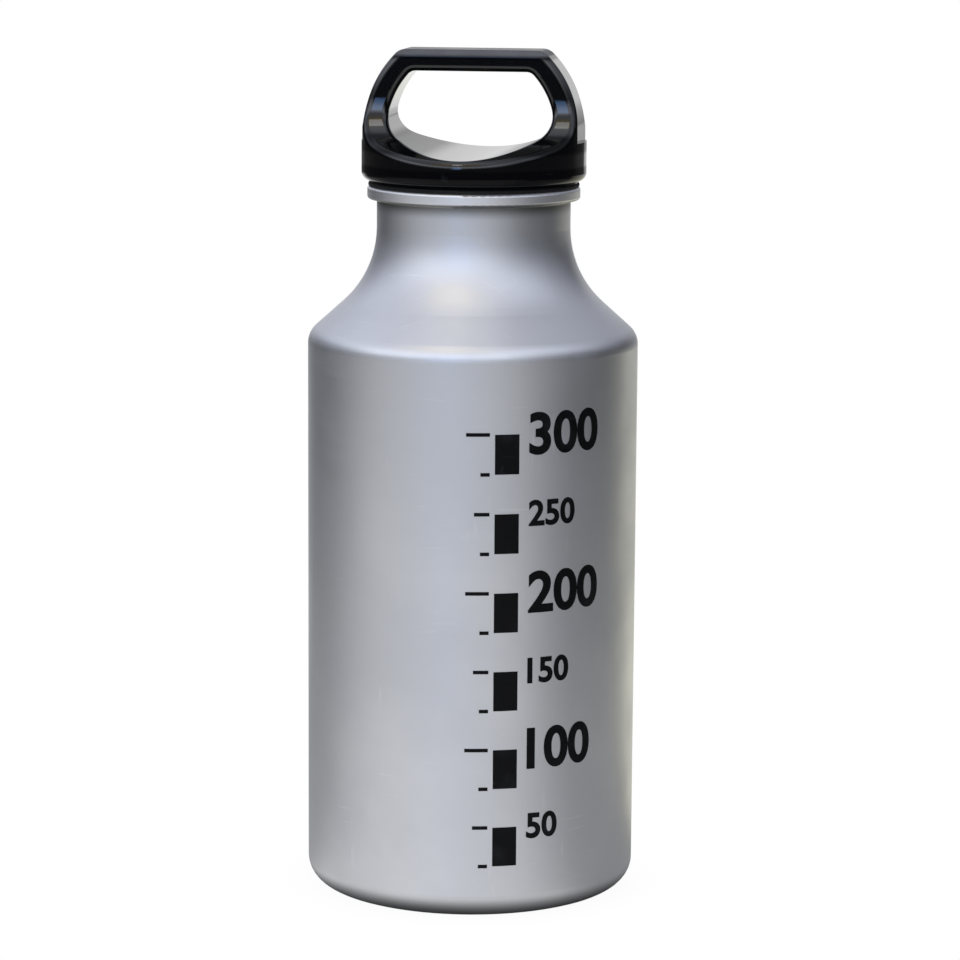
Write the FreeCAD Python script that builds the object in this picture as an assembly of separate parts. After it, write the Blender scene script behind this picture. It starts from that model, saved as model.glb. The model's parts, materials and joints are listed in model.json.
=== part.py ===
"""Camping fuel bottle: a one-piece aluminium bottle, its moulded screw cap with a carrying loop, and a seal.

Millimetres, +Z up, origin on the floor under the bottle's axis. The closed cap's loop lies in the XZ plane.
"""

import math
import os

import FreeCAD
import Part

# Bottle body
BODY_RADIUS = 33.0
BODY_HEIGHT = 110.2  # floor to the top of the straight wall
BODY_WALL = 1.0
BASE_WALL = 1.6
BASE_CORNER = 5.0
FOOT_WIDTH = 3.0  # flat ring that the bottle stands on
PUNT_HEIGHT = 4.0  # rise of the domed base inside that ring

# Shoulder, neck and lip
SHOULDER_ROUND = 4.3
SHOULDER_ANGLE = 48.0  # slope of the shoulder's cone from the vertical, in degrees
NECK_SWEEP = 20.0
NECK_RADIUS = 19.3
NECK_WALL = 2.1
NECK_STRAIGHT = 5.3
LIP_OVERHANG = 1.9
LIP_HEIGHT = 2.5
LIP_ROUND = 0.6
LIP_COVE = 0.4
MOUTH_CHAMFER = 0.5

# Seal
SEAL_THICKNESS = 0.8
SEAL_INSET = 0.2  # seal's outer edge, inside the lip's
SEAL_ROUND = 0.3
SEAL_CLEARANCE = 0.3  # between seal and plug

# Cap: plug, waist and flange
THREAD_DEPTH = 1.05  # height of each thread's ridge; both stand in the gap between plug and bore
THREAD_CLEARANCE = 0.25
PLUG_LENGTH = 11.5  # from the seal's top down
PLUG_WALL = 2.2
PLUG_LEAD = 0.8
RIB_THICKNESS = 1.6
RIB_STANDOFF = 2.5  # ribs stop this far short of the plug's end
VENT_WIDTH = 3.0
VENT_DEPTH = 0.7
CROWN_THICKNESS = 2.2  # between the finger opening's lowest point and the hollow plug
WAIST_HEIGHT = 0.4
FLANGE_RADIUS = 22.35
FLANGE_UNDER_ROUND = 1.7
FLANGE_FRONT_HEIGHT = 3.1  # straight side of the flange at its front and back, where its roof is lowest
FLANGE_END_HEIGHT = 6.2  # and under the loop's legs
ROOF_SLOPE = 17.0  # fall of the flange's top towards front and back, in degrees

# Cap: carrying loop
LOOP_HEIGHT = 18.0  # above the flange's ends
LOOP_DEPTH = 12.0
LOOP_END_INSET = 0.12  # loop's corners, inside the flange's edge
LOOP_ARCH_LIFT = 2.0  # centre of the loop's round outline, above the flange's ends
LOOP_TOP_CORNER = 3.0
LOOP_COVE = 9.0  # from the loop's faces into the flange's roof
LOOP_LEG = 4.7
LOOP_BAR = 4.25
LOOP_ROUND = 1.5
LOOP_ROUND_SHARE = 0.15  # the most that round takes of the flange's reach beyond the loop's depth
OPENING_LIFT = 0.4  # opening's lowest point, above the flange's front edge
OPENING_FLOOR_RADIUS = 30.0
OPENING_CORNER = 5.0
OPENING_TOP_CORNER = 2.0
OPENING_ROUND = 1.2

TOOL_OVERRUN = 5.0  # how far cutting tools and trimmed slabs reach past what they meet
TOUCHING = 1e-4  # distance at which an edge counts as lying on a surface


def at(across, height):
    """A point in the XZ plane."""
    return FreeCAD.Vector(across, 0, height)


def on_circle(centre, radius, degrees):
    """The point of a circle in the XZ plane, at an angle from +X towards +Z."""
    turn = math.radians(degrees)
    return at(centre.x + radius * math.cos(turn), centre.z + radius * math.sin(turn))


class Outline:
    """A closed chain of straight and round edges in the XZ plane."""

    def __init__(self, start):
        self.start = start
        self.end = start
        self.edges = []

    def line(self, point):
        """Goes straight to a point, unless the chain is there already."""
        if self.end.distanceToPoint(point) > TOUCHING:
            self.edges.append(Part.LineSegment(self.end, point).toShape())
            self.end = point

    def round(self, centre, radius, first, last):
        """Goes straight to an arc's first angle and along the arc to its last."""
        self.line(on_circle(centre, radius, first))
        finish = on_circle(centre, radius, last)
        halfway = on_circle(centre, radius, (first + last) / 2)
        self.edges.append(Part.Arc(self.end, halfway, finish).toShape())
        self.end = finish

    def face(self):
        """The area inside the chain."""
        self.line(self.start)
        return Part.Face(Part.Wire(self.edges))

    def revolved(self):
        """The solid that the area sweeps about Z."""
        return self.face().revolve(FreeCAD.Vector(), FreeCAD.Vector(0, 0, 1), 360)

    def slab(self, depth):
        """The area as a slab of this depth, centred on the XZ plane."""
        solid = self.face().extrude(FreeCAD.Vector(0, depth, 0))
        solid.translate(FreeCAD.Vector(0, -depth / 2, 0))
        return solid


class Shoulder:
    """One surface of the bottle's shoulder: a round, a cone and the sweep that leads into the neck."""

    def __init__(self, wall, neck_radius):
        slope = math.radians(SHOULDER_ANGLE)
        self.round_radius = SHOULDER_ROUND - wall
        self.round_centre = at(BODY_RADIUS - SHOULDER_ROUND, BODY_HEIGHT)
        cone_start = on_circle(self.round_centre, self.round_radius, SHOULDER_ANGLE)
        room = cone_start.x - neck_radius
        self.sweep_radius = min(NECK_SWEEP, room / (1 - math.cos(slope)))
        cone_height = (room - self.sweep_radius * (1 - math.cos(slope))) / math.tan(slope)
        sweep_top = cone_start.z + cone_height + self.sweep_radius * math.sin(slope)
        self.sweep_centre = at(neck_radius + self.sweep_radius, sweep_top)

    def upwards(self, outline):
        """Runs from the straight wall up into the neck."""
        outline.round(self.round_centre, self.round_radius, 0, SHOULDER_ANGLE)
        outline.round(self.sweep_centre, self.sweep_radius, 180 + SHOULDER_ANGLE, 180)

    def downwards(self, outline):
        """Runs from the neck down to the straight wall."""
        outline.round(self.sweep_centre, self.sweep_radius, 180, 180 + SHOULDER_ANGLE)
        outline.round(self.round_centre, self.round_radius, SHOULDER_ANGLE, 0)


# Places that the pieces share
BORE_RADIUS = NECK_RADIUS - NECK_WALL
OUTER_SHOULDER = Shoulder(0, NECK_RADIUS)
INNER_SHOULDER = Shoulder(BODY_WALL, BORE_RADIUS)
LIP_RADIUS = NECK_RADIUS + LIP_OVERHANG
LIP_UNDERSIDE_Z = OUTER_SHOULDER.sweep_centre.z + NECK_STRAIGHT + LIP_COVE
RIM_Z = LIP_UNDERSIDE_Z + LIP_HEIGHT
SEAL_TOP_Z = RIM_Z + SEAL_THICKNESS
PLUG_RADIUS = BORE_RADIUS - THREAD_DEPTH - THREAD_CLEARANCE
PLUG_END_Z = SEAL_TOP_Z - PLUG_LENGTH
HOLLOW_RADIUS = PLUG_RADIUS - PLUG_WALL
WAIST_RADIUS = FLANGE_RADIUS - FLANGE_UNDER_ROUND
FLANGE_Z = SEAL_TOP_Z + WAIST_HEIGHT + FLANGE_UNDER_ROUND
FRONT_EDGE_Z = FLANGE_Z + FLANGE_FRONT_HEIGHT
LEDGE_Z = FLANGE_Z + FLANGE_END_HEIGHT
LOOP_TOP_Z = LEDGE_Z + LOOP_HEIGHT
LOOP_HALF_DEPTH = LOOP_DEPTH / 2
LOOP_HALF_WIDTH = math.sqrt(FLANGE_RADIUS**2 - LOOP_HALF_DEPTH**2) - LOOP_END_INSET
ARCH_CENTRE = at(0, LEDGE_Z + LOOP_ARCH_LIFT)
OPENING_Z = FRONT_EDGE_Z + OPENING_LIFT
HOLLOW_TOP_Z = OPENING_Z - CROWN_THICKNESS
SLAB_REACH = FLANGE_RADIUS + TOOL_OVERRUN


def mirrored(point):
    """The point on the other side of the Z axis."""
    return at(-point.x, point.z)


def base_dome(edge_radius, edge_height):
    """Centre, radius and half angle of a dome in the base, whose edge has this radius and height."""
    radius = (edge_radius**2 + PUNT_HEIGHT**2) / (2 * PUNT_HEIGHT)
    half_angle = math.degrees(math.asin(edge_radius / radius))
    return at(0, edge_height + PUNT_HEIGHT - radius), radius, half_angle


def bottle_shell():
    """The seamless bottle: domed base, straight wall, shoulder, thick neck and turned-out lip."""
    corner_x = BODY_RADIUS - BASE_CORNER
    dome_edge = corner_x - FOOT_WIDTH
    inner_corner = BASE_CORNER - BODY_WALL
    lip_edge_x = LIP_RADIUS - LIP_ROUND

    shell = Outline(at(0, PUNT_HEIGHT))
    centre, radius, half_angle = base_dome(dome_edge, 0)
    shell.round(centre, radius, 90, 90 - half_angle)
    shell.round(at(corner_x, BASE_CORNER), BASE_CORNER, -90, 0)
    OUTER_SHOULDER.upwards(shell)
    shell.round(at(NECK_RADIUS + LIP_COVE, LIP_UNDERSIDE_Z - LIP_COVE), LIP_COVE, 180, 90)
    shell.round(at(lip_edge_x, LIP_UNDERSIDE_Z + LIP_ROUND), LIP_ROUND, -90, 0)
    shell.round(at(lip_edge_x, RIM_Z - LIP_ROUND), LIP_ROUND, 0, 90)
    shell.line(at(BORE_RADIUS + MOUTH_CHAMFER, RIM_Z))
    shell.line(at(BORE_RADIUS, RIM_Z - MOUTH_CHAMFER))
    INNER_SHOULDER.downwards(shell)
    shell.round(at(corner_x, BASE_WALL + inner_corner), inner_corner, 0, -90)
    centre, radius, half_angle = base_dome(dome_edge, BASE_WALL)
    shell.round(centre, radius, 90 - half_angle, 90)
    return shell.revolved()


def cap_seal():
    """Rubber washer, carried on the plug and pressed between the cap's waist and the bottle's rim."""
    edge_x = LIP_RADIUS - SEAL_INSET - SEAL_ROUND
    inner = PLUG_RADIUS + SEAL_CLEARANCE
    ring = Outline(at(inner, RIM_Z))
    ring.round(at(edge_x, RIM_Z + SEAL_ROUND), SEAL_ROUND, -90, 0)
    ring.round(at(edge_x, SEAL_TOP_Z - SEAL_ROUND), SEAL_ROUND, 0, 90)
    ring.line(at(inner, SEAL_TOP_Z))
    return ring.revolved()


def cap_stem():
    """The cap's round part below the flange's straight side: rounded underside, waist and plug."""
    stem = Outline(at(0, FLANGE_Z))
    stem.round(at(WAIST_RADIUS, FLANGE_Z), FLANGE_UNDER_ROUND, 0, -90)
    stem.line(at(WAIST_RADIUS, SEAL_TOP_Z))
    stem.line(at(PLUG_RADIUS, SEAL_TOP_Z))
    stem.line(at(PLUG_RADIUS, PLUG_END_Z + PLUG_LEAD))
    stem.line(at(PLUG_RADIUS - PLUG_LEAD, PLUG_END_Z))
    stem.line(at(0, PLUG_END_Z))
    return stem.revolved()


def loop_from_front():
    """Slab with the outline of flange and loop as seen from the front."""
    round_rise = LOOP_TOP_Z - LOOP_TOP_CORNER - ARCH_CENTRE.z
    lean = math.degrees(math.asin(round_rise / (LOOP_HALF_WIDTH - LOOP_TOP_CORNER)))
    corner = on_circle(ARCH_CENTRE, LOOP_HALF_WIDTH - LOOP_TOP_CORNER, lean)

    form = Outline(at(-SLAB_REACH, FLANGE_Z))
    form.line(at(SLAB_REACH, FLANGE_Z))
    form.line(at(SLAB_REACH, LEDGE_Z))
    form.line(at(LOOP_HALF_WIDTH, LEDGE_Z))
    form.round(ARCH_CENTRE, LOOP_HALF_WIDTH, 0, lean)
    form.round(corner, LOOP_TOP_CORNER, lean, 90)
    form.round(mirrored(corner), LOOP_TOP_CORNER, 90, 180 - lean)
    form.round(ARCH_CENTRE, LOOP_HALF_WIDTH, 180 - lean, 180)
    form.line(at(-LOOP_HALF_WIDTH, LEDGE_Z))
    form.line(at(-SLAB_REACH, LEDGE_Z))
    return form.slab(2 * SLAB_REACH)


def loop_from_side():
    """Slab with their outline as seen from the side: an upright web that flares into a falling roof."""
    slope = math.radians(ROOF_SLOPE)
    roof_root_z = FRONT_EDGE_Z + (FLANGE_RADIUS - LOOP_HALF_DEPTH) * math.tan(slope)
    roof_end_z = FRONT_EDGE_Z - TOOL_OVERRUN * math.tan(slope)
    cove_z = roof_root_z + LOOP_COVE * math.tan((math.pi / 2 - slope) / 2)
    cove = at(LOOP_HALF_DEPTH + LOOP_COVE, cove_z)

    form = Outline(at(SLAB_REACH, FLANGE_Z))
    form.line(at(SLAB_REACH, roof_end_z))
    form.round(cove, LOOP_COVE, 270 - ROOF_SLOPE, 180)
    form.line(at(LOOP_HALF_DEPTH, LOOP_TOP_Z))
    form.line(at(-LOOP_HALF_DEPTH, LOOP_TOP_Z))
    form.round(mirrored(cove), LOOP_COVE, 0, ROOF_SLOPE - 90)
    form.line(at(-SLAB_REACH, roof_end_z))
    form.line(at(-SLAB_REACH, FLANGE_Z))
    slab = form.slab(2 * SLAB_REACH)
    slab.rotate(FreeCAD.Vector(), FreeCAD.Vector(0, 0, 1), 90)
    return slab


def finger_opening():
    """Cutter for the opening under the carrying bar, whose floor is a saddle right across the flange."""
    arch_radius = LOOP_HALF_WIDTH - LOOP_LEG
    top_rise = LOOP_TOP_Z - LOOP_BAR - OPENING_TOP_CORNER - ARCH_CENTRE.z
    lean = math.degrees(math.asin(top_rise / (arch_radius - OPENING_TOP_CORNER)))
    top_corner = on_circle(ARCH_CENTRE, arch_radius - OPENING_TOP_CORNER, lean)

    # The lower corner's circle touches both the arch and the floor from inside
    floor_centre = at(0, OPENING_Z + OPENING_FLOOR_RADIUS)
    to_arch = arch_radius - OPENING_CORNER
    to_floor = OPENING_FLOOR_RADIUS - OPENING_CORNER
    between = floor_centre.z - ARCH_CENTRE.z
    corner_rise = (between**2 + to_arch**2 - to_floor**2) / (2 * between)
    corner = at(math.sqrt(to_arch**2 - corner_rise**2), ARCH_CENTRE.z + corner_rise)
    upper = math.degrees(math.atan2(corner_rise, corner.x))
    lower = math.degrees(math.atan2(corner.z - floor_centre.z, corner.x))

    form = Outline(on_circle(top_corner, OPENING_TOP_CORNER, 90))
    form.round(mirrored(top_corner), OPENING_TOP_CORNER, 90, 180 - lean)
    form.round(ARCH_CENTRE, arch_radius, 180 - lean, 180 - upper)
    form.round(mirrored(corner), OPENING_CORNER, 180 - upper, 180 - lower)
    form.round(floor_centre, OPENING_FLOOR_RADIUS, -180 - lower, lower)
    form.round(corner, OPENING_CORNER, lower, upper)
    form.round(ARCH_CENTRE, arch_radius, upper, lean)
    form.round(top_corner, OPENING_TOP_CORNER, lean, 90)
    return form.slab(2 * SLAB_REACH)


def edges_between(solid, first, second):
    """The solid's edges that lie on the surfaces of both forms, apart from edges straight along Y."""
    found = []
    for edge in solid.Edges:
        start, end = edge.Vertexes[0].Point, edge.Vertexes[-1].Point
        along_y = at(start.x - end.x, start.z - end.z).Length < TOUCHING
        halfway = Part.Vertex(edge.valueAt((edge.FirstParameter + edge.LastParameter) / 2))
        gaps = [halfway.distToShape(form.Shells[0])[0] for form in (first, second)]
        if max(gaps) < TOUCHING and not along_y:
            found.append(edge)
    return found


def flange_and_loop():
    """Flange and loop in one, with the finger opening cut through and the mould's rounded edges."""
    drum = Part.makeCylinder(FLANGE_RADIUS, LOOP_TOP_Z + TOOL_OVERRUN - FLANGE_Z, at(0, FLANGE_Z))
    from_side = loop_from_side()
    from_front = loop_from_front()
    opening = finger_opening()
    form = from_front.common(from_side).common(drum).cut(opening).removeSplitter()
    form = form.makeFillet(OPENING_ROUND, edges_between(form, from_side, opening))
    outer = edges_between(form, from_side, from_front) + edges_between(form, from_side, drum)
    outer_round = min(LOOP_ROUND, LOOP_ROUND_SHARE * (FLANGE_RADIUS - LOOP_DEPTH))
    return form.makeFillet(outer_round, [edge for edge in outer if edge.BoundBox.ZMax > FRONT_EDGE_Z])


def plug_ribs():
    """Two crossed ribs that stiffen the hollow plug."""
    length = 2 * (HOLLOW_RADIUS + PLUG_WALL / 2)
    bottom = PLUG_END_Z + RIB_STANDOFF
    height = HOLLOW_TOP_Z + CROWN_THICKNESS / 2 - bottom
    rib = Part.makeBox(length, RIB_THICKNESS, height, FreeCAD.Vector(-length / 2, -RIB_THICKNESS / 2, bottom))
    crossed = rib.copy()
    crossed.rotate(FreeCAD.Vector(), FreeCAD.Vector(0, 0, 1), 90)
    return rib.fuse(crossed)


def vent_slots():
    """Cutters for two grooves down the plug, which let pressure out before the cap comes free."""
    height = PLUG_LENGTH + TOOL_OVERRUN
    floor_x = PLUG_RADIUS - VENT_DEPTH
    corner = FreeCAD.Vector(floor_x, -VENT_WIDTH / 2, SEAL_TOP_Z - height)
    slot = Part.makeBox(TOOL_OVERRUN, VENT_WIDTH, height, corner)
    opposite = slot.copy()
    opposite.rotate(FreeCAD.Vector(), FreeCAD.Vector(0, 0, 1), 180)
    return slot.fuse(opposite)


def screw_cap():
    """The moulded cap: flange with carrying loop, waist, and hollow ribbed plug with its vent slots."""
    hollow = Part.makeCylinder(HOLLOW_RADIUS, HOLLOW_TOP_Z - PLUG_END_Z, at(0, PLUG_END_Z))
    cap = flange_and_loop().fuse(cap_stem()).cut(hollow)
    return cap.fuse(plug_ribs()).cut(vent_slots()).removeSplitter()


def capacity_ml(bottle):
    """Volume inside the bottle up to its rim, in millilitres."""
    spaces = Part.makeCylinder(2 * BODY_RADIUS, RIM_Z, FreeCAD.Vector()).cut(bottle).Solids
    centre = at(0, BODY_HEIGHT / 2)
    return sum(space.Volume for space in spaces if space.isInside(centre, TOUCHING, True)) / 1000


def main():
    """Builds every piece and writes one STEP file for each."""
    os.makedirs("parts", exist_ok=True)
    pieces = {"bottle_shell": bottle_shell(), "screw_cap": screw_cap(), "cap_seal": cap_seal()}
    for name, shape in pieces.items():
        shape.exportStep(f"parts/{name}.step")
        print(f"{name}: {len(shape.Solids)} solid, valid {shape.isValid()}, {shape.Volume / 1000:.2f} ml")
    print(f"rim {RIM_Z:.2f}, flange {FLANGE_Z:.2f}, front edge {FRONT_EDGE_Z:.2f}, loop top {LOOP_TOP_Z:.2f}")
    print(f"bore radius {BORE_RADIUS:.2f}, plug radius {PLUG_RADIUS:.2f}, plug end {PLUG_END_Z:.2f}")
    print(f"capacity to the rim {capacity_ml(pieces['bottle_shell']):.0f} ml")


main()
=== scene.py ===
"""Looks of the camping fuel bottle.

Satin aluminium, a glossy cap, a rubber seal, screw threads, a printed fill scale and a plain studio.
Metres, +Z up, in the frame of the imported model. The viewer stands towards -Y, a little to the right.
"""

from __future__ import annotations

import json
import logging
import math
from dataclasses import dataclass
from enum import Enum

import bmesh
import bpy
from mathutils import Matrix, Quaternion, Vector

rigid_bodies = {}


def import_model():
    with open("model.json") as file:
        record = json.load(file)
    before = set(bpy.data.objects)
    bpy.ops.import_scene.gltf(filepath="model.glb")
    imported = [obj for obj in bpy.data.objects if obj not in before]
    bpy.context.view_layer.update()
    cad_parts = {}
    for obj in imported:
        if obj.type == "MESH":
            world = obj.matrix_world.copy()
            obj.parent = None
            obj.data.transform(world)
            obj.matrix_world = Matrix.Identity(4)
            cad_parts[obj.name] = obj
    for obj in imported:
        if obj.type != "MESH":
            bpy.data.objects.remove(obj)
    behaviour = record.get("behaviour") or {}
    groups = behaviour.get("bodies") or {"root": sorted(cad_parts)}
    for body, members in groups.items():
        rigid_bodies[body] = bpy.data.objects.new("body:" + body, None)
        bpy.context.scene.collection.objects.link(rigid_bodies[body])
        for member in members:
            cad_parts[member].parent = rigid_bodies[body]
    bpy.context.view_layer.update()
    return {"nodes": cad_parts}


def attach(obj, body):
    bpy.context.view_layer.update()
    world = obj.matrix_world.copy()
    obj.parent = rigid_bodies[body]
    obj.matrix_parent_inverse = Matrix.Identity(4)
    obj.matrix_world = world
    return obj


MM = 0.001
CUBIC_METRES_PER_ML = 1e-6
MERGE_DISTANCE = 1e-7
CUT_DISTANCE = 1e-8
PICTURE_PIXELS = 960
SENSOR_MM = 36.0
WHITE = (1.0, 1.0, 1.0, 1.0)

Colour = tuple[float, float, float, float]
Span = tuple[float, float]
Socket = bpy.types.NodeSocket

log = logging.getLogger("fuel_bottle")


class Body(Enum):
    """The bodies that pieces ride on."""

    BOTTLE = "bottle"
    CAP = "cap"


class Slot(Enum):
    """The record's material slots that new pieces use."""

    ALUMINIUM = "bare_aluminium"
    PLASTIC = "cap_plastic"


class Node(Enum):
    """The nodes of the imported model."""

    SHELL = "bottle_shell"
    CAP = "screw_cap"
    SEAL = "cap_seal"


class Graph:
    """Adds and joins the nodes of one shader tree."""

    def __init__(self, tree: bpy.types.NodeTree) -> None:
        """Takes the tree that the nodes go into."""
        self.tree = tree

    def feed(self, socket: Socket, value: object) -> None:
        """Links an output to an input socket, or sets a constant on it.

        Args:
            socket: the input socket.
            value: the output or the constant.
        """
        if isinstance(value, Socket):
            self.tree.links.new(value, socket)
        else:
            socket.default_value = value

    def add(
        self,
        kind: str,
        values: dict[str | int, object] | None = None,
        **settings: object,
    ) -> bpy.types.Node:
        """Adds a node.

        Args:
            kind: Blender's type name of the node.
            values: constants or outputs for its input sockets, by name or number.
            settings: the node's own properties.

        Returns:
            The new node.
        """
        node = self.tree.nodes.new(kind)
        for name, value in settings.items():
            setattr(node, name, value)
        for socket, value in (values or {}).items():
            self.feed(node.inputs[socket], value)
        return node

    def math(self, operation: str, first: object, second: object = 0.0) -> Socket:
        """Adds a Math node.

        Args:
            operation: Blender's name of the sum.
            first: a number or the output to start from.
            second: a number or the other output.

        Returns:
            The result's socket.
        """
        return self.add("ShaderNodeMath", {0: first, 1: second}, operation=operation).outputs[0]

    def ramp(self, value: Socket, span: Span, low: float = 0.0, high: float = 1.0) -> Socket:
        """Eases a value from one range into another.

        Args:
            value: the output to read.
            span: the readings at which the result is low and high.
            low: the result before the span.
            high: the result after it.

        Returns:
            The result's socket.
        """
        start, end = span
        values = {"Value": value, "From Min": start, "From Max": end, "To Min": low, "To Max": high}
        return self.add("ShaderNodeMapRange", values, interpolation_type="SMOOTHSTEP").outputs["Result"]

    def blend(self, factor: Socket, first: object, second: object) -> Socket:
        """Mixes two colours.

        Args:
            factor: how much of the second colour shows.
            first: a colour or an output.
            second: a colour or an output.

        Returns:
            The mixed colour's socket.
        """
        mix = self.add("ShaderNodeMix", {"Factor": factor}, data_type="RGBA")
        colour_inputs = [socket for socket in mix.inputs if socket.type == "RGBA"]
        for socket, value in zip(colour_inputs, (first, second)):
            self.feed(socket, value)
        return next(socket for socket in mix.outputs if socket.type == "RGBA")

    def vector(self, operation: str, first: object, second: object = (0.0, 0.0, 0.0)) -> Socket:
        """Adds a Vector Math node.

        Args:
            operation: Blender's name of the sum.
            first: a vector or the output to start from.
            second: a vector or the other output.

        Returns:
            The result's socket, a number for a length or a dot product.
        """
        node = self.add("ShaderNodeVectorMath", {0: first, 1: second}, operation=operation)
        return next(socket for socket in node.outputs if socket.enabled)

    def towards(self, way: Socket, azimuth: float) -> Socket:
        """Compares a direction with one side of the studio.

        Args:
            way: the direction's output.
            azimuth: that side, in degrees from -Y towards +X.

        Returns:
            The socket of the cosine between the two.
        """
        turn = math.radians(azimuth)
        return self.vector("DOT_PRODUCT", way, (math.sin(turn), -math.cos(turn), 0.0))


class Effects:
    """Shader groups that several finishes share."""

    GRAIN = "surface grain"
    GRAIN_LAYERS = (("Fine", "Tooth", 3.0), ("Clouds", "Cloud", 4.0))
    MARKS = "handling marks"
    SCRATCH_WAYS = (((0.3, 0.5, 0.2), (1.0, 14.0, 1.0)), ((0.9, -0.4, 1.1), (1.0, 1.0, 16.0)))
    SCRATCH_DETAIL = 2.0
    SCRATCH_EDGE = (0.66, 0.74)
    PATCH_SCALE = 55.0
    PATCH_DETAIL = 3.0
    PATCH_EDGE = (0.42, 0.62)

    @staticmethod
    def new_group(
        name: str,
        numbers: list[str],
        outputs: list[str],
    ) -> tuple[Graph, bpy.types.Node, bpy.types.Node]:
        """Starts a group that reads a place on the surface.

        Args:
            name: the group's name.
            numbers: the names of its number inputs.
            outputs: the names of its number outputs.

        Returns:
            The group's graph, its input node and its output node.
        """
        tree = bpy.data.node_groups.new(name, "ShaderNodeTree")
        tree.interface.new_socket(name="Vector", in_out="INPUT", socket_type="NodeSocketVector")
        for label in numbers:
            tree.interface.new_socket(name=label, in_out="INPUT", socket_type="NodeSocketFloat")
        for label in outputs:
            tree.interface.new_socket(name=label, in_out="OUTPUT", socket_type="NodeSocketFloat")
        graph = Graph(tree)
        return graph, graph.add("NodeGroupInput"), graph.add("NodeGroupOutput")

    @classmethod
    def build_grain(cls) -> None:
        """Makes the grain group: a fine tooth with slow clouds in it."""
        graph, source, result = cls.new_group(cls.GRAIN, ["Tooth", "Cloud"], ["Fine", "Clouds"])
        for label, scale, detail in cls.GRAIN_LAYERS:
            values = {"Vector": source.outputs["Vector"], "Scale": source.outputs[scale], "Detail": detail}
            noise = graph.add("ShaderNodeTexNoise", values)
            graph.feed(result.inputs[label], noise.outputs["Fac"])

    @classmethod
    def build_marks(cls) -> None:
        """Makes the marks group: short hair scratches, in patches where hands and packs rub."""
        graph, source, result = cls.new_group(cls.MARKS, ["Scale", "Amount"], ["Mask"])
        place = source.outputs["Vector"]
        scratches = []
        for turn, stretch in cls.SCRATCH_WAYS:
            turned = graph.add("ShaderNodeMapping", {"Vector": place, "Rotation": turn, "Scale": stretch})
            values = {
                "Vector": turned.outputs["Vector"],
                "Scale": source.outputs["Scale"],
                "Detail": cls.SCRATCH_DETAIL,
            }
            noise = graph.add("ShaderNodeTexNoise", values)
            scratches.append(graph.ramp(noise.outputs["Fac"], cls.SCRATCH_EDGE))
        values = {"Vector": place, "Scale": cls.PATCH_SCALE, "Detail": cls.PATCH_DETAIL}
        patches = graph.ramp(graph.add("ShaderNodeTexNoise", values).outputs["Fac"], cls.PATCH_EDGE)
        shown = graph.math("MULTIPLY", graph.math("MAXIMUM", *scratches), patches)
        graph.feed(result.inputs["Mask"], graph.math("MULTIPLY", shown, source.outputs["Amount"]))

    @staticmethod
    def place(graph: Graph, name: str, values: dict[str, object]) -> bpy.types.Node:
        """Puts a shared group into a material, with its own values, and returns its node."""
        return graph.add("ShaderNodeGroup", values, node_tree=bpy.data.node_groups[name])


def start_material(
    name: str,
    constants: dict[str, object],
) -> tuple[bpy.types.Material, Graph, bpy.types.Node]:
    """Starts a material with one Principled shader.

    Args:
        name: the material's name.
        constants: the plain values on the shader's sockets.

    Returns:
        The material, its graph and its shader.
    """
    material = bpy.data.materials.new(name)
    material.use_nodes = True
    material.node_tree.nodes.clear()
    graph = Graph(material.node_tree)
    shader = graph.add("ShaderNodeBsdfPrincipled", constants)
    graph.add("ShaderNodeOutputMaterial", {"Surface": shader.outputs["BSDF"]})
    return material, graph, shader


def add_relief(
    graph: Graph,
    shader: bpy.types.Node,
    height: Socket,
    strength: float,
    distance: float,
) -> None:
    """Gives a shader a fine relief.

    Args:
        graph: the material's graph.
        shader: its Principled shader.
        height: the relief's height, from 0 to 1.
        strength: how much of the relief shows.
        distance: the relief's depth.
    """
    bump = graph.add("ShaderNodeBump", {"Strength": strength, "Distance": distance, "Height": height})
    graph.feed(shader.inputs["Normal"], bump.outputs["Normal"])


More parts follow.
